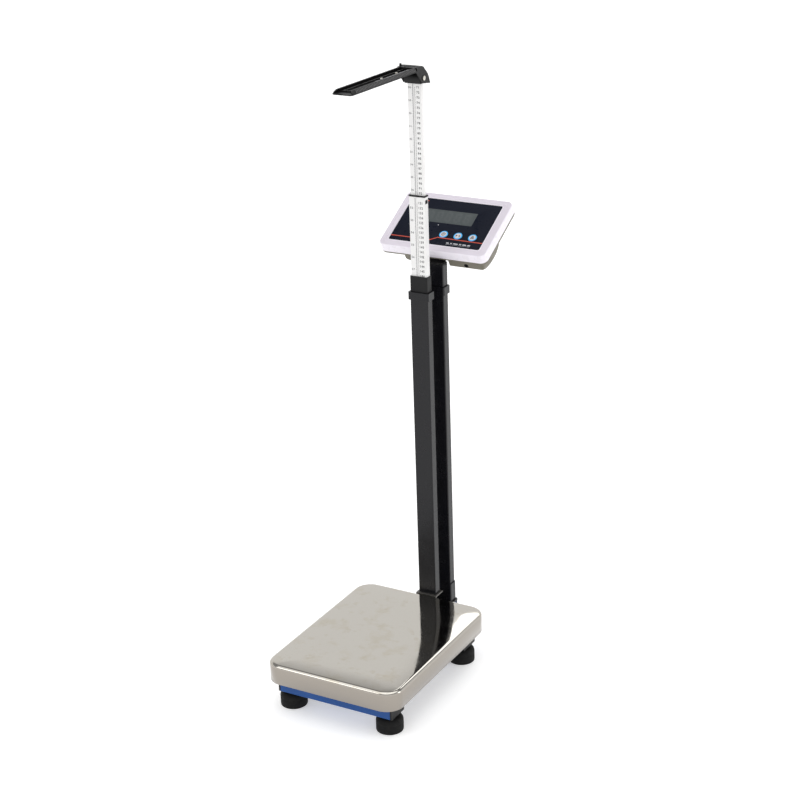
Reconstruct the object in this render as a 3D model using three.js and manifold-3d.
// Electronic physician scale with a telescopic height rod.
// Millimetres, +Z up. The platform's middle is at x = 0, y = 0 while the parts are laid out, the front
// faces -Y, and the finished scale is then centred in depth over the origin, with its feet on z = 0.
import * as THREE from 'three';
import { mergeVertices } from 'three/addons/utils/BufferGeometryUtils.js';
import Module from 'manifold-3d';

const wasm = await Module();
wasm.setup();

// ---------------------------------------------------------------- driving dimensions
const SEAM = 0.3; // gap left between pieces that touch
const SLIDE_FIT = 0.3; // gap round a piece that slides
const SCREW_ROOM = 0.4; // gap round a screw or stud in its hole
const TURN_FIT = 0.1; // gap round the hinge pin

// weighing platform
const COVER_W = 300;
const COVER_D = 400;
const COVER_R = 36;
const COVER_BEND = 5;
const COVER_T = 1.2;
const COVER_H = 42.5;

// base frame, from the floor up
const FOOT_H = 35;
const FOOT_R = 27.5;
const FOOT_SINK = 15; // how far a foot's middle stands in from the end of its cross tube
const FOOT_SHOULDER = 12; // radius of the pad's rounded shoulder
const FOOT_BASE = 12; // rubber under the stud
const STUD_R = 5;
const STUD_RISE = 22; // stud above the underside of its cross tube
const STUD_FLANGE_R = 12;
const STUD_FLANGE_T = 2;
const TUBE_H = 35;
const TUBE_D = 50;
const TUBE_WALL = 2;
const CROSS_TUBE_SHY = 24; // from the cover's side to the end of a cross tube
const CROSS_TUBE_INSET = 47; // from the cover's front or rear edge to the tube's middle
const PLUG_FLANGE = 4;
const PLUG_DEPTH = 8; // stops short of the foot's stud
const PLUG_WALL = 2.5;
const SPINE_W = 60;
const BEAM_H = 25; // the beam under the columns passes below the cover's rim
const BEAM_TAIL = 6; // beam behind the rear column
const SPACER_T = 4;
const SPACER_L = 38;
const CELL_L = 130;
const CELL_W = 30;
const CELL_H = 20;
const CELL_END = 1; // from the load cell's end to its spacer
const CELL_BORE_R = 7;
const CELL_BORE_SHIFT = 15; // from the cell's middle to each bore
const CELL_SLOT = 6;
const WEIGH_FRAME_T = 5;
const WEIGH_FRAME_BAR = 34;
const WEIGH_FRAME_SIDE = 20; // from the cover's side to the weigh frame
const WEIGH_FRAME_END = 28; // from the cover's front or rear edge to the weigh frame
const PAD_T = 3;
const PAD_R = 12;
const PAD_SHIFT = 16; // from the weigh frame's end to a pad's middle

// columns
const ROD_TUBE_W = 40;
const ROD_TUBE_D = 20;
const ROD_TUBE_WALL = 1.5;
const ROD_TUBE_SETBACK = 12.4; // from the platform's rear edge to the tube's front face
const ROD_TUBE_DROP = 4; // how far the tube starts below the platform's top
const ROD_TUBE_TOP = 669.5; // above the platform's top
const ROD_PLUG_H = 15;
const COLUMN_W = 60;
const COLUMN_D = 20;
const COLUMN_WALL = 1.5;
const COLUMN_GAP = 28.6; // clear gap between the two columns
const COLUMN_TOP = 718.5;
const COLUMN_CAP_T = 3;
const COLUMN_CAP_DEPTH = 11;
const CLAMP_H = 16.3;
const CLAMP_T = 3;
const SPACER_R = 6;
const SOCKET_T = 1.5;
const SOCKET_RISE = 0.7; // sleeve's top above the platform's top
const FLANGE_SIDE = 5; // flange beyond the column at each side
const FLANGE_FRONT = 22; // flange in front of the column, where its bolts are
const FLANGE_BACK = 5;
const FLANGE_T = 5;
const BOLT_R = 3;
const BOLT_HEAD_R = 5.5;
const BOLT_HEAD_H = 4;
const BOLT_SIDE = 10; // from the beam's side to a bolt's middle
const BOLT_FRONT = 13; // from the column's front face to a bolt's middle
const BOLT_GRIP = 12; // bolt below the beam's top
const BRACKET_T = 3;
const BRACKET_LIP = 4; // bracket wider than the rod tube at each side
const BRACKET_FRONT = 6; // from the platform's rear edge to the bracket

// telescopic rod
const GUIDE_CAP_H = 32.9;
const GUIDE_CAP_SPIGOT = 25;
const GUIDE_CAP_STEP_W = 0.5; // cap narrower than the rod tube at each side
const GUIDE_CAP_STEP_D = 0.3;
const LOWER_ROOM_W = 1; // guide's wall between the rod tube and the lower ruler, at each side
const LOWER_ROOM_D = 1.5;
const LOWER_L = 677;
const LOWER_OUT = 163.4; // drawn out of the guide cap at rest
const COLLAR_H = 3;
const COLLAR_LIP = 1;
const RULER_WALL = 1.2;
const UPPER_ROOM_W = 1.05; // from the lower ruler's wall to the upper ruler, at each side
const UPPER_ROOM_D = 1.8;
const UPPER_L = 660;
const UPPER_OUT = 222.1; // drawn out of the collar at rest
const BUSH_H = 12;
const GROOVE_W = 3.4;
const GROOVE_DEPTH = 0.5;
const GROOVE_AT = 0.435; // share of the ruler's width, from its left edge
const BUTTON_D = 8;
const BUTTON_H = 7.2;
const BUTTON_DROP = 10; // from the collar to the button's middle
const BUTTON_OUT = 0.7;
const BUTTON_REST = 0.75; // from the upper ruler to the released button

// headpiece
const ARM_REACH = 270; // pivot to tip
const ARM_LIFT = THREE.MathUtils.degToRad(0.9); // the open arm points slightly up
const ARM_H = 8.5;
const ARM_FLOOR = 2.2;
const ARM_WALL = 2.4;
const ARM_LEAN = 4; // how far each side wall leans in
const ARM_RISE = 15; // pivot to the arm's underside
const PIVOT_RISE = 11.3; // rod's top to the pivot
const PIVOT_SETBACK = 4.7; // pivot in front of the rod's middle
const PIN_R = 3;
const PIN_HEAD_R = 4.6;
const BARREL_R = 9.5;
const BLOCK_LIP = 2.25; // hinge block wider than the upper ruler at each side
const BLOCK_BACK = 6.8; // hinge block behind the upper ruler
const CHEEK_T = 2.6;
const CHEEK_ROOM = 1.4; // from the hinge block to a cheek
const HOOD_ROOM = 2.1; // from the hinge block's back to the hood

// display head: u across, v up the panel, n out of it
const HEAD_TILT = THREE.MathUtils.degToRad(28.9);
const HEAD_W = 243;
const HEAD_H = 161;
const HEAD_R = 14;
const HEAD_RISE = 782.6; // panel's middle above the platform's top
const HEAD_SETBACK = 61.7; // panel's middle behind the rear column's middle
const BEZEL_DEPTH = 20;
const BEZEL_WALL = 2.8;
const SHELL_INSET = 1.5;
const SHELL_DEPTH = 8;
const SHELL_WALL = 2.5;
const PANEL_SIDE = 18.5; // from the bezel's side to the panel
const PANEL_END = 17; // from the bezel's upper or lower edge to the panel
const PANEL_SINK = 1.2;
const LCD_W = 119;
const LCD_H = 37;
const LCD_DROP = 28.4; // from the panel's upper edge to the window
const LCD_LIP = 3;
const LCD_T = 5.5;
const KEY_R = 9.2;
const KEY_STEM_R = 5;
const KEY_PITCH = 32.7;
const KEY_SIDE = 27.4; // from the panel's side to the last key's middle
const KEY_RISE = 31.1; // from the panel's lower edge to the keys' middles
const KEY_PROUD = 0.9;
const KEY_TRAVEL = 0.8;
const HUMP_LEFT_INSET = 53.5; // from the bezel's side to the swelling's end
const HUMP_RIGHT_INSET = 9.5;
const HUMP_DEPTH = 27.5;
const HUMP_MIDDLE = -30;
const HUMP_ROOM = 3; // from the column to the swelling's inner end
const JACK_R = 4.6;
const JACK_BORE_R = 3.2;
const JACK_L = 13;
const JACK_INSET = 39; // from the swelling's end to the socket
const JACK_SINK = 6; // from the tray's back to the socket's middle
const BOARD_T = 1.6;
const BOARD_SIDE = 26.5; // from the bezel's side to the board
const BOARD_LOW = 32.5;
const BOARD_HIGH = 34.5;
const BATTERY_LOW = 24.5; // from the bezel's lower edge to the battery
const BATTERY_H = 42;
const BATTERY_ROOM = 2.5;
const BATTERY_SINK = 14; // from the tray's back to the battery's back
const BATTERY_DROP = 4; // from the board to the battery
const HEAD_BRACKET_W = 50;
const HEAD_BRACKET_LOW = 5; // bracket's lower end above the rod tube
const CABLE_X = 14;
const CABLE_R = 2.5;
const CABLE_ROOM = 1.2;
const CABLE_EXIT = 16; // where the cable leaves the column, above the clamps

// ---------------------------------------------------------------- sizes that follow
const crossTubeL = COVER_W - 2 * CROSS_TUBE_SHY;
const lowerW = ROD_TUBE_W - 2 * (ROD_TUBE_WALL + LOWER_ROOM_W);
const lowerD = ROD_TUBE_D - 2 * (ROD_TUBE_WALL + LOWER_ROOM_D);
const upperW = lowerW - 2 * (RULER_WALL + UPPER_ROOM_W);
const upperD = lowerD - 2 * (RULER_WALL + UPPER_ROOM_D);
const blockW = upperW + 2 * BLOCK_LIP;
const armW = blockW + 2 * (CHEEK_ROOM + CHEEK_T);
const blockBack = PIVOT_SETBACK + upperD / 2 + BLOCK_BACK; // behind the pivot
const panelW = HEAD_W - 2 * PANEL_SIDE;
const panelH = HEAD_H - 2 * PANEL_END;
const lcdV = panelH / 2 - LCD_DROP - LCD_H / 2;
const keyV = -panelH / 2 + KEY_RISE;
const keyPlaces = [2, 1, 0].map((i) => panelW / 2 - KEY_SIDE - i * KEY_PITCH);
const humpLeft = -HEAD_W / 2 + HUMP_LEFT_INSET;
const humpRight = HEAD_W / 2 - HUMP_RIGHT_INSET;
const humpInner = COLUMN_W / 2 + HUMP_ROOM;
const jackU = humpRight - JACK_INSET;

// ---------------------------------------------------------------- levels and places
const tubeZ = FOOT_H;
const tubeTop = tubeZ + TUBE_H;
const cellZ = tubeTop + SPACER_T;
const weighFrameZ = cellZ + CELL_H + SPACER_T;
const padZ = weighFrameZ + WEIGH_FRAME_T;
const platformZ = padZ + PAD_T + COVER_T;
const crossY = COVER_D / 2 - CROSS_TUBE_INSET;
const crossBackY = crossY + TUBE_D / 2;
const footX = crossTubeL / 2 - FOOT_SINK;
const weighFrameX = COVER_W / 2 - WEIGH_FRAME_SIDE;
const weighFrameY = COVER_D / 2 - WEIGH_FRAME_END;
const rodY = COVER_D / 2 + ROD_TUBE_SETBACK + ROD_TUBE_D / 2;
const rodTubeZ = platformZ - ROD_TUBE_DROP;
const rodTubeTop = platformZ + ROD_TUBE_TOP;
const columnY = rodY + ROD_TUBE_D / 2 + COLUMN_GAP + COLUMN_D / 2;
const columnFront = columnY - COLUMN_D / 2;
const columnBack = columnY + COLUMN_D / 2;
const columnTop = platformZ + COLUMN_TOP - COLUMN_CAP_T;
const beamTop = tubeZ + BEAM_H;
const flangeFront = columnFront - FLANGE_FRONT;
const socketZ = beamTop + FLANGE_T;
const beamEndY = columnBack + BEAM_TAIL;
const boltX = SPINE_W / 2 - BOLT_SIDE;
const boltY = columnFront - BOLT_FRONT;
const guideTop = rodTubeTop + GUIDE_CAP_H;
const collarZ = guideTop + LOWER_OUT;
const upperTop = collarZ + COLLAR_H + UPPER_OUT;
const pivotY = rodY - PIVOT_SETBACK;
const pivotZ = upperTop + PIVOT_RISE;
const headY = columnY + HEAD_SETBACK;
const headZ = platformZ + HEAD_RISE;
const shellBack = -(BEZEL_DEPTH + SHELL_DEPTH);
const bezelFloor = PANEL_SINK + BEZEL_WALL;
const boardTop = -bezelFloor - SEAM - LCD_T - SEAM;
const jackN = shellBack - JACK_SINK;

// ---------------------------------------------------------------- materials
const paint = (color, roughness, metalness) => new THREE.MeshStandardMaterial({ color, roughness, metalness });
const steel = paint('#c9c5bd', 0.22, 1);
const zinc = paint('#b4b2ad', 0.4, 1);
const blue = paint('#2b5796', 0.35, 0.1);
const blackPaint = paint('#37363b', 0.35, 0.1);
const blackPlastic = paint('#232325', 0.5, 0);
const rubber = paint('#232323', 0.85, 0);
const rulerWhite = paint('#eceae8', 0.4, 0.2);
const aluminium = paint('#c4c6c8', 0.4, 0.9);
const bezelWhite = paint('#e4dce8', 0.45, 0);
const taupe = paint('#7d7a6c', 0.5, 0);
const navy = paint('#212430', 0.3, 0);
const lcdGrey = paint('#5a6262', 0.25, 0);
const keyBlue = paint('#2896dc', 0.4, 0);
const boardGreen = paint('#1f5a35', 0.5, 0.1);

const scale = new THREE.Group();
const head = new THREE.Group();
head.position.set(0, headY, headZ);
head.rotation.x = HEAD_TILT;
scale.add(head);

function place(name, geometry, material, parent = scale) {
  const mesh = new THREE.Mesh(geometry, material);
  mesh.name = name;
  parent.add(mesh);
  return mesh;
}

// ---------------------------------------------------------------- shape helpers
function solid(geometry) {
  const bare = geometry.clone();
  bare.deleteAttribute('normal');
  bare.deleteAttribute('uv');
  const merged = mergeVertices(bare, 1e-4);
  return new wasm.Manifold(new wasm.Mesh({
    numProp: 3,
    vertProperties: new Float32Array(merged.attributes.position.array),
    triVerts: new Uint32Array(merged.index.array),
  }));
}

function geometryOf(body) {
  const mesh = body.getMesh();
  const geometry = new THREE.BufferGeometry();
  geometry.setAttribute('position', new THREE.BufferAttribute(mesh.vertProperties, 3));
  geometry.setIndex(new THREE.BufferAttribute(mesh.triVerts, 1));
  return geometry;
}

function cut(geometry, ...tools) {
  return geometryOf(tools.reduce((body, tool) => body.subtract(solid(tool)), solid(geometry)));
}

function join(geometry, ...others) {
  return geometryOf(others.reduce((body, other) => body.add(solid(other)), solid(geometry)));
}

// block between two corners
function block(x0, x1, y0, y1, z0, z1) {
  const box = new THREE.BoxGeometry(x1 - x0, y1 - y0, z1 - z0);
  return box.translate((x0 + x1) / 2, (y0 + y1) / 2, (z0 + z1) / 2);
}

// upright cylinder of radius r from z0 to z1 at (x, y)
function rod(r, z0, z1, x = 0, y = 0, sides = 20) {
  return new THREE.CylinderGeometry(r, r, z1 - z0, sides).rotateX(Math.PI / 2).translate(x, y, (z0 + z1) / 2);
}

// cylinder along Y, from y0 to y1
function barAlongY(r, y0, y1, x, z, sides = 20) {
  return new THREE.CylinderGeometry(r, r, y1 - y0, sides).translate(x, (y0 + y1) / 2, z);
}

// cylinder along X, from x0 to x1
function barAlongX(r, x0, x1, y, z, sides = 20) {
  return new THREE.CylinderGeometry(r, r, x1 - x0, sides).rotateZ(Math.PI / 2).translate((x0 + x1) / 2, y, z);
}

function roundRect(w, h, r, Kind = THREE.Shape) {
  const shape = new Kind();
  const x = w / 2;
  const y = h / 2;
  shape.moveTo(-x + r, -y);
  shape.lineTo(x - r, -y);
  shape.absarc(x - r, -y + r, r, -Math.PI / 2, 0, false);
  shape.lineTo(x, y - r);
  shape.absarc(x - r, y - r, r, 0, Math.PI / 2, false);
  shape.lineTo(-x + r, y);
  shape.absarc(-x + r, y - r, r, Math.PI / 2, Math.PI, false);
  shape.lineTo(-x, -y + r);
  shape.absarc(-x + r, -y + r, r, Math.PI, 1.5 * Math.PI, false);
  return shape;
}

function rise(shape, depth, curveSegments = 4) {
  return new THREE.ExtrudeGeometry(shape, { depth, curveSegments, bevelEnabled: false });
}

// rectangular tube standing on z0, with rounded edges
function tubeUp(w, d, wall, z0, z1, r = 2) {
  const shape = roundRect(w, d, r);
  shape.holes.push(roundRect(w - 2 * wall, d - 2 * wall, Math.max(r - wall, 0.4), THREE.Path));
  return rise(shape, z1 - z0, 3).translate(0, 0, z0);
}

// the same tube laid along X, or along Y
const tubeAlongX = (d, h, wall, x0, x1) => tubeUp(h, d, wall, x0, x1, 3).rotateY(Math.PI / 2);
const tubeAlongY = (w, h, wall, y0, y1) => tubeUp(w, h, wall, -y1, -y0, 3).rotateX(Math.PI / 2);

// solid of the given outline in (y, z), between two x places
function sideways(points, x0, x1) {
  const shape = new THREE.Shape(points.map(([y, z]) => new THREE.Vector2(y, z)));
  const geometry = rise(shape, x1 - x0);
  return geometry.applyMatrix4(new THREE.Matrix4().makeBasis(
    new THREE.Vector3(0, 1, 0),
    new THREE.Vector3(0, 0, 1),
    new THREE.Vector3(1, 0, 0),
  )).translate(x0, 0, 0);
}

// solid of the given outline in (x, z), between two y places
function lengthways(points, y0, y1) {
  const shape = new THREE.Shape(points.map(([x, z]) => new THREE.Vector2(x, z)));
  return rise(shape, y1 - y0).rotateX(Math.PI / 2).translate(0, y1, 0);
}

// closed skin through rings of equal point counts, with a flat cap on the first and last ring
function skin(rings) {
  const count = rings[0].length;
  const points = rings.flat();
  const triangles = [];
  for (let ring = 0; ring + 1 < rings.length; ring += 1) {
    for (let i = 0; i < count; i += 1) {
      const a = ring * count + i;
      const b = ring * count + ((i + 1) % count);
      triangles.push(a, b, b + count, a, b + count, a + count);
    }
  }
  const last = (rings.length - 1) * count;
  for (let i = 1; i + 1 < count; i += 1) {
    triangles.push(0, i + 1, i);
    triangles.push(last, last + i, last + i + 1);
  }
  const geometry = new THREE.BufferGeometry();
  geometry.setAttribute('position', new THREE.Float32BufferAttribute(points.flat(), 3));
  geometry.setIndex(triangles);
  return geometry;
}

// one ring: a rounded rectangle, drawn in by `inset`, at height z
function ring(w, h, r, inset, z, steps = 6) {
  const points = [];
  const radius = Math.max(r - inset, 0.6);
  const x = w / 2 - inset - radius;
  const y = h / 2 - inset - radius;
  const corners = [[x, -y, -90], [x, y, 0], [-x, y, 90], [-x, -y, 180]];
  for (const [cx, cy, start] of corners) {
    for (let i = 0; i <= steps; i += 1) {
      const angle = THREE.MathUtils.degToRad(start + (90 * i) / steps);
      points.push([cx + radius * Math.cos(angle), cy + radius * Math.sin(angle), z]);
    }
  }
  return points;
}

// rings of a rounded-over top edge: [inset, z] pairs on a quarter circle
function rollover(radius, top, steps) {
  const stops = [];
  for (let i = 0; i <= steps; i += 1) {
    const angle = (Math.PI / 2) * (i / steps);
    stops.push([radius * (1 - Math.cos(angle)), top - radius * (1 - Math.sin(angle))]);
  }
  return stops;
}

// ---------------------------------------------------------------- signal cable's way
// From the load cell down into the spine, back through the beam, up the rear column and into the head.
const headPoint = (u, v, n) => new THREE.Vector3(u, v, n).applyEuler(head.rotation).add(head.position);
const cableEnd = headPoint(CABLE_X, -HEAD_H / 2 + 22.5, -BEZEL_DEPTH + 2);
const cableTurn = headPoint(CABLE_X, -HEAD_H / 2 + 20.5, shellBack - 10);
const cableMidZ = tubeZ + BEAM_H / 2;
const cableLeave = rodTubeTop + CABLE_EXIT;
const cellEnd = CELL_L / 2;
const cableRoute = new THREE.CatmullRomCurve3([
  new THREE.Vector3(0, cellEnd + 1, cellZ + CELL_H / 2),
  new THREE.Vector3(2, cellEnd + 8, cellZ + CELL_H / 2 - 2),
  new THREE.Vector3(8, cellEnd + 18, tubeTop - 4),
  new THREE.Vector3(CABLE_X, cellEnd + 32, cableMidZ + 2),
  new THREE.Vector3(CABLE_X, cellEnd + 50, cableMidZ),
  new THREE.Vector3(CABLE_X, crossY, cableMidZ),
  new THREE.Vector3(CABLE_X, columnY - 40, cableMidZ),
  new THREE.Vector3(CABLE_X, columnY - 20, cableMidZ + 1),
  new THREE.Vector3(CABLE_X, columnY - 6, beamTop - 2),
  new THREE.Vector3(CABLE_X, columnY, beamTop + 20),
  new THREE.Vector3(CABLE_X, columnY, beamTop + 60),
  new THREE.Vector3(CABLE_X, columnY, (beamTop + headZ) / 2),
  new THREE.Vector3(CABLE_X, columnY, cableLeave - 50),
  new THREE.Vector3(CABLE_X, columnY, cableLeave - 20),
  new THREE.Vector3(CABLE_X, columnY + 1.5, cableLeave),
  new THREE.Vector3(CABLE_X, (columnY + cableTurn.y) / 2, cableLeave + 16),
  cableTurn,
  cableEnd,
], false, 'centripetal');

function cableTube(radius) {
  const section = new THREE.Shape(new THREE.EllipseCurve(0, 0, radius, radius).getPoints(8).slice(0, 8));
  return new THREE.ExtrudeGeometry(section, { steps: 76, extrudePath: cableRoute, curveSegments: 8 });
}
const cableWay = cableTube(CABLE_R + CABLE_ROOM);

// ---------------------------------------------------------------- base frame
function platformCover() {
  const bend = rollover(COVER_BEND, platformZ, 4);
  const rim = platformZ - COVER_H;
  const outer = [[0, rim], ...bend].map(([inset, z]) => ring(COVER_W, COVER_D, COVER_R, inset, z));
  const inner = [[0, rim], ...rollover(COVER_BEND - COVER_T, platformZ - COVER_T, 3)]
    .map(([inset, z]) => ring(COVER_W, COVER_D, COVER_R, inset + COVER_T, z));
  return skin([...inner.reverse(), ...outer]);
}

function crossTube(side) {
  const tube = tubeAlongX(TUBE_D, TUBE_H, TUBE_WALL, -crossTubeL / 2, crossTubeL / 2)
    .translate(0, side * crossY, tubeZ + TUBE_H / 2);
  const holeTop = tubeZ + TUBE_WALL + 1;
  const holeR = STUD_R + SCREW_ROOM;
  const studHoles = [-1, 1].map((end) => rod(holeR, tubeZ - 1, holeTop, end * footX, side * crossY));
  return cut(tube, ...studHoles);
}

// hollow push-in plug: a flange outside the tube and a spigot inside, built along +Z
function tubePlug(w, h) {
  const flange = rise(roundRect(w, h, 3), PLUG_FLANGE - SEAM, 3).translate(0, 0, SEAM);
  const inside = 2 * (TUBE_WALL + SEAM);
  const hollowW = w - inside - 2 * PLUG_WALL;
  const hollowH = h - inside - 2 * PLUG_WALL;
  const spigot = rise(roundRect(w - inside, h - inside, 1), PLUG_DEPTH + SEAM + 1, 3)
    .translate(0, 0, -PLUG_DEPTH);
  const hollow = rise(roundRect(hollowW, hollowH, 1), PLUG_DEPTH, 3).translate(0, 0, -PLUG_DEPTH - 1);
  return cut(join(flange, spigot), hollow);
}

function footPad() {
  const top = FOOT_H - STUD_FLANGE_T - 2 * SEAM;
  const bore = STUD_R + SEAM;
  const shoulder = top - FOOT_SHOULDER;
  const points = [[0, 0], [FOOT_R - 2, 0], [FOOT_R, 2.5], [FOOT_R, shoulder]];
  for (let i = 1; i <= 5; i += 1) {
    const angle = (Math.PI / 2) * (i / 5);
    points.push([FOOT_R - FOOT_SHOULDER * (1 - Math.cos(angle)), shoulder + FOOT_SHOULDER * Math.sin(angle)]);
  }
  points.push([bore, top], [bore, FOOT_BASE], [0, FOOT_BASE]);
  return new THREE.LatheGeometry(points.map(([r, z]) => new THREE.Vector2(r, z)), 28).rotateX(Math.PI / 2);
}

function footStud() {
  const flangeTop = FOOT_H - SEAM;
  const flangeLow = flangeTop - STUD_FLANGE_T;
  const low = FOOT_BASE + SEAM;
  const top = FOOT_H + STUD_RISE;
  const points = [[0, low], [STUD_R, low], [STUD_R, flangeLow], [STUD_FLANGE_R, flangeLow],
    [STUD_FLANGE_R, flangeTop], [STUD_R, flangeTop], [STUD_R, top - 1], [STUD_R - 1, top], [0, top]];
  return new THREE.LatheGeometry(points.map(([r, z]) => new THREE.Vector2(r, z)), 20).rotateX(Math.PI / 2);
}

function loadCell() {
  const body = block(-CELL_W / 2, CELL_W / 2, -CELL_L / 2, CELL_L / 2, cellZ, cellZ + CELL_H - SEAM);
  const middle = cellZ + CELL_H / 2;
  const reach = CELL_W / 2 + 1;
  const holes = [-1, 1].map((side) => barAlongX(CELL_BORE_R, -reach, reach, side * CELL_BORE_SHIFT, middle));
  const slotLow = middle - CELL_SLOT / 2;
  const slot = block(-reach, reach, -CELL_BORE_SHIFT, CELL_BORE_SHIFT, slotLow, slotLow + CELL_SLOT);
  return cut(body, ...holes, slot);
}

function weighFrame() {
  const x = weighFrameX;
  const y = weighFrameY;
  const bar = WEIGH_FRAME_BAR;
  const web = SPINE_W / 2;
  const outline = [[-x, -y], [x, -y], [x, -y + bar], [web, -y + bar], [web, y - bar], [x, y - bar],
    [x, y], [-x, y], [-x, y - bar], [-web, y - bar], [-web, -y + bar], [-x, -y + bar]];
  const shape = new THREE.Shape(outline.map(([px, py]) => new THREE.Vector2(px, py)));
  return rise(shape, WEIGH_FRAME_T - SEAM).translate(0, 0, weighFrameZ);
}

function buildBase() {
  place('platform_cover', platformCover(), steel);
  place('front_cross_tube', crossTube(-1), blue);
  place('rear_cross_tube', cut(crossTube(1), cableWay), blue);
  for (const [row, side] of [['front', -1], ['rear', 1]]) {
    for (const [hand, end] of [['left', -1], ['right', 1]]) {
      const plug = place(`${row}_${hand}_tube_plug`, tubePlug(TUBE_D, TUBE_H), blackPlastic);
      plug.rotation.set(Math.PI / 2, 0, (end * Math.PI) / 2, 'ZYX');
      plug.position.set((end * crossTubeL) / 2, side * crossY, tubeZ + TUBE_H / 2);
      const pad = place(`${row}_${hand}_foot_pad`, footPad(), rubber);
      const stud = place(`${row}_${hand}_foot_stud`, footStud(), zinc);
      pad.position.set(end * footX, side * crossY, 0);
      stud.position.copy(pad.position);
      const coverPad = place(`${row}_${hand}_cover_pad`, rod(PAD_R, padZ, padZ + PAD_T - SEAM), rubber);
      coverPad.position.set(end * (weighFrameX - PAD_SHIFT), side * (weighFrameY - WEIGH_FRAME_BAR / 2), 0);
    }
  }
  const spineEnd = crossY - TUBE_D / 2 - SEAM;
  const middle = tubeZ + TUBE_H / 2;
  const spine = tubeAlongY(SPINE_W, TUBE_H - SEAM, TUBE_WALL, -spineEnd, spineEnd)
    .translate(0, 0, middle - SEAM / 2);
  place('spine_tube', cut(spine, cableWay), blue);
  const beamMiddle = tubeZ + (BEAM_H - SEAM) / 2;
  const beam = tubeAlongY(SPINE_W, BEAM_H - SEAM, TUBE_WALL, crossBackY + SEAM, beamEndY)
    .translate(0, 0, beamMiddle);
  place('column_beam', cut(beam, cableWay), blue);
  const beamPlug = place('beam_end_plug', tubePlug(SPINE_W, BEAM_H - SEAM), blackPlastic);
  beamPlug.rotation.x = -Math.PI / 2;
  beamPlug.position.set(0, beamEndY, beamMiddle);
  const spacerEnd = CELL_L / 2 - CELL_END;
  const spacer = (y0, z) => block(-CELL_W / 2, CELL_W / 2, y0, y0 + SPACER_L, z, z + SPACER_T - SEAM);
  place('lower_spacer', spacer(spacerEnd - SPACER_L, tubeTop), zinc);
  place('load_cell', loadCell(), aluminium);
  place('upper_spacer', spacer(-spacerEnd, cellZ + CELL_H), zinc);
  place('weigh_frame', weighFrame(), blue);
}

// ---------------------------------------------------------------- columns
function columnSocket() {
  const flangeW = COLUMN_W + 2 * FLANGE_SIDE;
  const flangeD = columnBack + FLANGE_BACK - flangeFront;
  const flange = rise(roundRect(flangeW, flangeD, 4), FLANGE_T, 4)
    .translate(0, flangeFront + flangeD / 2, beamTop);
  const w = COLUMN_W + 2 * (SEAM + SOCKET_T);
  const d = COLUMN_D + 2 * (SEAM + SOCKET_T);
  const sleeve = tubeUp(w, d, SOCKET_T, socketZ - 1, platformZ + SOCKET_RISE, 3.5).translate(0, columnY, 0);
  const bolts = [-1, 1].map((hand) => rod(BOLT_R + SCREW_ROOM, beamTop - 1, socketZ + 1, hand * boltX, boltY));
  return cut(join(flange, sleeve), cableWay, ...bolts);
}

function socketBolt(hand) {
  const seat = socketZ + SEAM;
  const shank = rod(BOLT_R, beamTop - BOLT_GRIP, seat + 1, hand * boltX, boltY);
  const headDisc = rod(BOLT_HEAD_R, seat, seat + BOLT_HEAD_H, hand * boltX, boltY, 6);
  return join(shank, headDisc);
}

// C-shaped bracket, open to the rear, that carries the rod tube
function rodBracket() {
  const y0 = COVER_D / 2 + BRACKET_FRONT;
  const y1 = flangeFront - 1;
  const z0 = beamTop;
  const z1 = rodTubeZ - SEAM;
  const t = BRACKET_T;
  const half = ROD_TUBE_W / 2 + BRACKET_LIP;
  const outline = [[y0, z0], [y1, z0], [y1, z0 + t], [y0 + t, z0 + t],
    [y0 + t, z1 - t], [y1, z1 - t], [y1, z1], [y0, z1]];
  return sideways(outline, -half, half);
}

// ring clamp round a column
function clamp(w, d, y) {
  const outerW = w + 2 * (CLAMP_T + SEAM);
  const outerD = d + 2 * (CLAMP_T + SEAM);
  return tubeUp(outerW, outerD, CLAMP_T, rodTubeTop - CLAMP_H, rodTubeTop, 3).translate(0, y, 0);
}

// solid bar that just fills the rod tube's inside
function rodTubeFill(height) {
  const inside = 2 * (ROD_TUBE_WALL + SEAM);
  return rise(roundRect(ROD_TUBE_W - inside, ROD_TUBE_D - inside, 1), height, 3);
}

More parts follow.
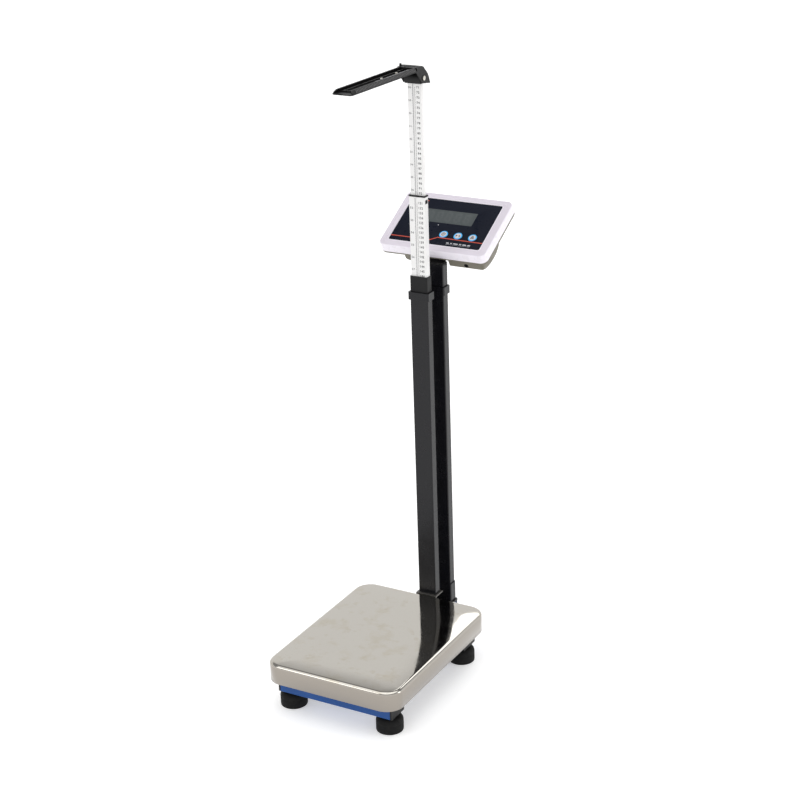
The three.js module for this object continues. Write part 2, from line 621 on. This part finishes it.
function buildColumns() {
  const clampZ = rodTubeTop - CLAMP_H / 2;
  const frontFace = rodY + ROD_TUBE_D / 2;
  const boltStart = frontFace + 2 * SEAM;
  const boltEnd = columnBack + SEAM + CLAMP_T;
  const boltHole = barAlongY(BOLT_R + SCREW_ROOM, boltStart - SEAM, boltEnd + 1, 0, clampZ);
  const column = tubeUp(COLUMN_W, COLUMN_D, COLUMN_WALL, socketZ, columnTop).translate(0, columnY, 0);
  place('rear_column', cut(column, cableWay, boltHole), blackPaint);
  const inside = 2 * (COLUMN_WALL + SEAM);
  const capPlate = rise(roundRect(COLUMN_W, COLUMN_D, 2), COLUMN_CAP_T - SEAM, 3)
    .translate(0, columnY, columnTop + SEAM);
  const capSpigot = rise(roundRect(COLUMN_W - inside, COLUMN_D - inside, 1), COLUMN_CAP_DEPTH + 1, 3)
    .translate(0, columnY, columnTop - COLUMN_CAP_DEPTH);
  place('column_cap', join(capPlate, capSpigot), blackPlastic);
  place('column_socket', columnSocket(), blackPaint);
  const beamMesh = scale.getObjectByName('column_beam');
  const holeLow = beamTop - TUBE_WALL - 1;
  const beamHoles = [-1, 1].map((hand) => rod(BOLT_R + SCREW_ROOM, holeLow, beamTop + 1, hand * boltX, boltY));
  beamMesh.geometry = cut(beamMesh.geometry, ...beamHoles);
  place('socket_bolt_left', socketBolt(-1), zinc);
  place('socket_bolt_right', socketBolt(1), zinc);
  place('rod_bracket', rodBracket(), zinc);
  const rodTube = tubeUp(ROD_TUBE_W, ROD_TUBE_D, ROD_TUBE_WALL, rodTubeZ, rodTubeTop).translate(0, rodY, 0);
  place('rod_tube', rodTube, blackPaint);
  place('rod_tube_plug', rodTubeFill(ROD_PLUG_H).translate(0, rodY, rodTubeZ), blackPlastic);
  place('front_clamp', cut(clamp(ROD_TUBE_W, ROD_TUBE_D, rodY), boltHole), blackPaint);
  place('rear_clamp', cut(clamp(COLUMN_W, COLUMN_D, columnY), boltHole), blackPaint);
  const spacerY0 = frontFace + CLAMP_T + 2 * SEAM;
  const spacerY1 = columnFront - CLAMP_T - 2 * SEAM;
  place('clamp_spacer', cut(barAlongY(SPACER_R, spacerY0, spacerY1, 0, clampZ), boltHole), zinc);
  const boltSeat = boltEnd + SEAM;
  const clampBolt = join(
    barAlongY(BOLT_R, boltStart, boltEnd + 1, 0, clampZ),
    barAlongY(BOLT_HEAD_R, boltSeat, boltSeat + BOLT_HEAD_H, 0, clampZ, 6),
  );
  place('clamp_bolt', clampBolt, zinc);
  place('signal_cable', cableTube(CABLE_R), rubber);
}

// ---------------------------------------------------------------- telescopic rod
function guideCap() {
  const capW = ROD_TUBE_W - 2 * GUIDE_CAP_STEP_W;
  const capD = ROD_TUBE_D - 2 * GUIDE_CAP_STEP_D;
  const collar = rise(roundRect(capW, capD, 2), GUIDE_CAP_H - SEAM, 3).translate(0, 0, SEAM);
  const spigot = rodTubeFill(GUIDE_CAP_SPIGOT + 1).translate(0, 0, -GUIDE_CAP_SPIGOT);
  const holeShape = roundRect(lowerW + 2 * SLIDE_FIT, lowerD + 2 * SLIDE_FIT, 0.8);
  const hole = rise(holeShape, GUIDE_CAP_H + GUIDE_CAP_SPIGOT + 2, 3).translate(0, 0, -GUIDE_CAP_SPIGOT - 1);
  return cut(join(collar, spigot), hole);
}

// hollow ruler section with the shallow groove that parts its two scales
function rulerTube(w, d, length) {
  const at = -w / 2 + GROOVE_AT * w;
  const x = w / 2;
  const y = d / 2;
  const outline = [[-x, -y], [at - GROOVE_W / 2, -y], [at - GROOVE_W / 2, -y + GROOVE_DEPTH],
    [at + GROOVE_W / 2, -y + GROOVE_DEPTH], [at + GROOVE_W / 2, -y], [x, -y], [x, y], [-x, y]];
  const shape = new THREE.Shape(outline.map(([px, py]) => new THREE.Vector2(px, py)));
  shape.holes.push(roundRect(w - 2 * RULER_WALL, d - 2 * RULER_WALL, 0.5, THREE.Path));
  return rise(shape, length, 2);
}

function buildRod() {
  place('rod_guide_cap', guideCap(), blackPlastic).position.set(0, rodY, rodTubeTop);
  const buttonY = BUTTON_D / 2;
  const buttonLow = -BUTTON_DROP - BUTTON_H / 2;
  const holeY = buttonY + SCREW_ROOM;
  const holeZ = LOWER_L + buttonLow - SCREW_ROOM;
  const holeTop = holeZ + BUTTON_H + 2 * SCREW_ROOM;
  const buttonHole = block(lowerW / 2 - RULER_WALL - 1, lowerW / 2 + 1, -holeY, holeY, holeZ, holeTop);
  const lower = place('lower_ruler_tube', cut(rulerTube(lowerW, lowerD, LOWER_L), buttonHole), rulerWhite);
  lower.position.set(0, rodY, collarZ - LOWER_L);
  const button = block(upperW / 2 + BUTTON_REST, lowerW / 2 + BUTTON_OUT, -buttonY, buttonY,
    buttonLow, buttonLow + BUTTON_H);
  place('lock_button', button, blackPlastic).position.set(0, rodY, collarZ);
  const collarShape = roundRect(lowerW + 2 * COLLAR_LIP, lowerD + 2 * COLLAR_LIP, 1.5);
  collarShape.holes.push(roundRect(upperW + 2 * SLIDE_FIT, upperD + 2 * SLIDE_FIT, 0.5, THREE.Path));
  place('ruler_collar', rise(collarShape, COLLAR_H - SEAM, 3).translate(0, rodY, collarZ + SEAM), blackPlastic);
  const upper = place('upper_ruler_rod', rulerTube(upperW, upperD, UPPER_L), rulerWhite);
  upper.position.set(0, rodY, upperTop - UPPER_L);
  const inside = 2 * (RULER_WALL + SLIDE_FIT);
  const bush = rise(roundRect(lowerW - inside, lowerD - inside, 0.5), BUSH_H, 2);
  place('rod_bush', bush, blackPlastic).position.set(0, rodY, upperTop - UPPER_L - BUSH_H - SEAM);
}

// ---------------------------------------------------------------- headpiece
// places here are (y, z) from the pivot
function hingeBlock() {
  const low = -PIVOT_RISE + SEAM;
  const outline = [[-BARREL_R + 4, low], [blockBack, low], [blockBack, 2]];
  for (let i = 0; i <= 9; i += 1) {
    const angle = THREE.MathUtils.degToRad(20 + (195 * i) / 9);
    outline.push([BARREL_R * Math.cos(angle), BARREL_R * Math.sin(angle)]);
  }
  const body = sideways(outline, -blockW / 2, blockW / 2);
  return cut(body, barAlongX(PIN_R + TURN_FIT, -blockW, blockW, 0, 0));
}

function hingePin() {
  const half = armW / 2;
  const shank = barAlongX(PIN_R, -half + 0.5, half + 0.6, 0, 0);
  return join(shank, barAlongX(PIN_HEAD_R, half + SEAM, half + 1.9, 0, 0, 24));
}

// channel with leaning side walls, carried by a hood whose cheeks straddle the hinge block
function measuringArm() {
  const half = armW / 2;
  const low = ARM_RISE;
  const high = ARM_RISE + ARM_H;
  const floorTop = low + ARM_FLOOR;
  const tip = -ARM_REACH;
  const channelBack = -6;
  const noseL = 24;
  const floorSlab = block(-half, half, tip + 6, channelBack, low, floorTop);
  const nose = rise(roundRect(armW, noseL, 6), ARM_FLOOR, 4).translate(0, tip + noseL / 2, low);
  const walls = [-1, 1].map((side) => {
    const upper = half - ARM_LEAN;
    const profile = [[half, low], [upper, high], [upper - ARM_WALL, high], [half - ARM_WALL, low]];
    const mirrored = side > 0 ? profile : profile.map(([x, z]) => [-x, z]).reverse();
    const wall = lengthways(mirrored, tip + 5, channelBack);
    const endCut = sideways([[tip, low + 3], [tip + 14, high + 1], [tip, high + 1]], -armW, armW);
    return cut(wall, endCut);
  });
  const ribs = [-7, 7].map((x) => block(x - 0.9, x + 0.9, tip + 20, channelBack, low, low + 5));
  const crossRib = block(-half + ARM_WALL, half - ARM_WALL, tip + 20, tip + 22, low, low + 5);
  const deep = blockBack + HOOD_ROOM;
  const foot = -PIVOT_RISE;
  const hoodBack = [[-26, low], [-10, -3], [-4, foot + 1.5], [deep + 8.9, foot - 2.5], [deep + 3.9, -2],
    [deep - 0.6, 6], [deep - 6.6, 12.5], [3.5, 18], [-6, 21.5], [-17, high], [-26, high]];
  const hoodInside = [[-24, low], [-9, 10.6], [9, 10.6], [deep, 2.5], [deep, foot - 6], [60, foot - 6],
    [60, -30], [-40, -30], [-40, low]];
  const inner = half - CHEEK_T;
  const hood = cut(sideways(hoodBack, -half, half), sideways(hoodInside, -inner, inner));
  const tabOutline = [[-19, high - 2], [-12, high - 2], [-13, high + 4.5], [-17, high + 5]];
  const tab = sideways(tabOutline, -half, -half + ARM_WALL);
  const body = join(floorSlab, nose, ...walls, ...ribs, crossRib, hood, tab);
  return cut(body, barAlongX(PIN_R + TURN_FIT, -armW, armW, 0, 0));
}

function buildHeadpiece() {
  const headpiece = new THREE.Group();
  headpiece.position.set(0, pivotY, pivotZ);
  scale.add(headpiece);
  place('hinge_block', hingeBlock(), blackPlastic, headpiece);
  place('hinge_pin', hingePin(), zinc, headpiece);
  place('measuring_arm', measuringArm(), blackPlastic, headpiece).rotation.x = -ARM_LIFT;
}

// ---------------------------------------------------------------- display head
const keyHole = (u, r, n0, n1) => rod(r, n0, n1, u, keyV, 24);
const lcdHole = (w, h, n0, n1) => rise(roundRect(w, h, 1.5), n1 - n0, 3).translate(0, lcdV, n0);

function headBezel() {
  const stops = [[0, -BEZEL_DEPTH], [0, -8], ...rollover(6, 0, 4)];
  const outer = skin(stops.map(([inset, n]) => ring(HEAD_W, HEAD_H, HEAD_R, inset, n)));
  const wall = 2 * BEZEL_WALL;
  const cavityW = HEAD_W - wall - 2 * SHELL_INSET;
  const cavityH = HEAD_H - wall - 2 * SHELL_INSET;
  const cavity = rise(roundRect(cavityW, cavityH, HEAD_R - BEZEL_WALL), BEZEL_DEPTH - bezelFloor + 1)
    .translate(0, 0, -BEZEL_DEPTH - 1);
  const recess = rise(roundRect(panelW + 2 * SEAM, panelH + 2 * SEAM, 4), 5).translate(0, 0, -PANEL_SINK);
  const keys = keyPlaces.map((u) => keyHole(u, KEY_STEM_R + SCREW_ROOM, -bezelFloor - 1, 1));
  return cut(outer, cavity, recess, lcdHole(LCD_W, LCD_H, -bezelFloor - 1, 1), ...keys);
}

function headOverlay() {
  const sheet = rise(roundRect(panelW, panelH, 4), PANEL_SINK - SEAM - 0.1).translate(0, 0, -PANEL_SINK + SEAM);
  const keys = keyPlaces.map((u) => keyHole(u, KEY_R + SLIDE_FIT, -PANEL_SINK - 1, 1));
  return cut(sheet, lcdHole(LCD_W + 2 * SEAM, LCD_H + 2 * SEAM, -PANEL_SINK - 1, 1), ...keys);
}

// outline of the swelling on the head's back, in (v, n); `wall` draws it in
function humpOutline(wall) {
  const front = -HEAD_H / 2 + SHELL_INSET + 0.5 + wall;
  const depth = HUMP_DEPTH - wall;
  const backHalf = 36.5 - wall;
  const frontHalf = 56;
  const start = shellBack + 1.5;
  const outline = [[HUMP_MIDDLE + backHalf, start], [front, start]];
  const steps = 7;
  for (let i = 0; i <= steps; i += 1) {
    const v = front + ((HUMP_MIDDLE - front) * i) / steps;
    outline.push([v, start - 1.5 - (depth - 1.5) * Math.sqrt(1 - ((HUMP_MIDDLE - v) / frontHalf) ** 2)]);
  }
  for (let i = 1; i < steps; i += 1) {
    const angle = (Math.PI / 2) * (1 - i / steps);
    outline.push([HUMP_MIDDLE + backHalf * Math.cos(angle), start - depth * Math.sin(angle)]);
  }
  return outline;
}

function headBackShell() {
  const w = HEAD_W - 2 * SHELL_INSET;
  const h = HEAD_H - 2 * SHELL_INSET;
  const stops = [[4, shellBack], [1.2, shellBack + 1.2], [0, shellBack + 4], [0, -BEZEL_DEPTH - SEAM]];
  const tray = skin(stops.map(([inset, n]) => ring(w, h, HEAD_R - SHELL_INSET, inset, n)));
  const hump = sideways(humpOutline(0), humpLeft, humpRight);
  const trayHollow = rise(roundRect(w - 2 * SHELL_WALL, h - 2 * SHELL_WALL, HEAD_R - 4), SHELL_DEPTH)
    .translate(0, 0, shellBack + SHELL_WALL);
  const recess = block(-humpInner, humpInner, -HEAD_H, HUMP_MIDDLE + 60, shellBack - 60, shellBack);
  const hollowOutline = humpOutline(SHELL_WALL).map(([v, n]) => [v, n + 3]);
  const hollows = [[humpLeft, -humpInner], [humpInner, humpRight]]
    .map(([left, right]) => sideways(hollowOutline, left + SHELL_WALL, right - SHELL_WALL));
  const way = cableWay.clone().applyMatrix4(head.matrixWorld.clone().invert());
  const jack = barAlongY(JACK_R + SEAM, -HEAD_H, -HEAD_H / 2 + 8, jackU, jackN);
  const body = solid(tray).add(solid(hump)).subtract(solid(recess)).subtract(solid(trayHollow));
  const open = hollows.reduce((left, hollow) => left.subtract(solid(hollow)), body);
  return geometryOf(open.subtract(solid(way)).subtract(solid(jack)));
}

function chargingSocket() {
  const face = -HEAD_H / 2 + SHELL_INSET;
  const body = barAlongY(JACK_R, face - 0.2, face + JACK_L, jackU, jackN, 24);
  return cut(body, barAlongY(JACK_BORE_R, face - 2, face + JACK_L - 3, jackU, jackN));
}

function key(u) {
  const pressRoom = SEAM + KEY_TRAVEL;
  const capLow = -PANEL_SINK + pressRoom;
  const cap = rod(KEY_R, capLow, KEY_PROUD, u, keyV, 28);
  return join(cap, rod(KEY_STEM_R, boardTop + pressRoom, capLow + 0.1, u, keyV, 24));
}

function headBracket() {
  const low = rodTubeTop + HEAD_BRACKET_LOW;
  const y0 = columnBack + SEAM;
  const t = BRACKET_T;
  const under = shellBack - SEAM;
  // where the shell's back plane crosses a given y, less the bracket's own depth below it
  const planeZ = (y, n) => headZ + (n + Math.sin(HEAD_TILT) * (y - headY)) / Math.cos(HEAD_TILT);
  const far = headPoint(0, -6, 0).y;
  const outline = [[y0, low], [y0 + t, low], [y0 + t, planeZ(y0 + t, under - t)], [far, planeZ(far, under - t)],
    [far, planeZ(far, under)], [y0, planeZ(y0, under)]];
  return cut(sideways(outline, -HEAD_BRACKET_W / 2, HEAD_BRACKET_W / 2), cableWay);
}

function buildHead() {
  place('head_bezel', headBezel(), bezelWhite, head);
  place('head_back_shell', headBackShell(), taupe, head);
  place('head_overlay', headOverlay(), navy, head);
  place('lcd_window', lcdHole(LCD_W - 2 * SEAM, LCD_H - 2 * SEAM, -PANEL_SINK, -0.2), lcdGrey, head);
  const lcdTop = -bezelFloor - SEAM;
  const lcdModule = lcdHole(LCD_W + 2 * LCD_LIP, LCD_H + 2 * LCD_LIP, lcdTop - LCD_T, lcdTop);
  place('lcd_display', lcdModule, lcdGrey, head);
  const boardX = HEAD_W / 2 - BOARD_SIDE;
  const boardLow = -HEAD_H / 2 + BOARD_LOW;
  const board = block(-boardX, boardX, boardLow, HEAD_H / 2 - BOARD_HIGH, boardTop - BOARD_T, boardTop);
  place('circuit_board', board, boardGreen, head);
  const batteryLeft = humpInner + SHELL_WALL + BATTERY_ROOM;
  const batteryRight = humpRight - SHELL_WALL - BATTERY_ROOM - 1;
  const batteryV = -HEAD_H / 2 + BATTERY_LOW;
  const battery = block(batteryLeft, batteryRight, batteryV, batteryV + BATTERY_H, shellBack - BATTERY_SINK,
    boardTop - BATTERY_DROP);
  place('battery', battery, blackPlastic, head);
  keyPlaces.forEach((u, i) => place(`key_${i + 1}`, key(u), keyBlue, head));
  place('charging_socket', chargingSocket(), blackPlastic, head);
  place('head_bracket', headBracket(), blackPaint);
}

scale.updateMatrixWorld(true);
buildBase();
buildColumns();
buildRod();
buildHeadpiece();
buildHead();

// centre the finished scale over the origin, front to back
const extent = new THREE.Box3().setFromObject(scale, true);
scale.position.y = -(extent.min.y + extent.max.y) / 2;

const model = new THREE.Group();
model.add(scale);
export default model;
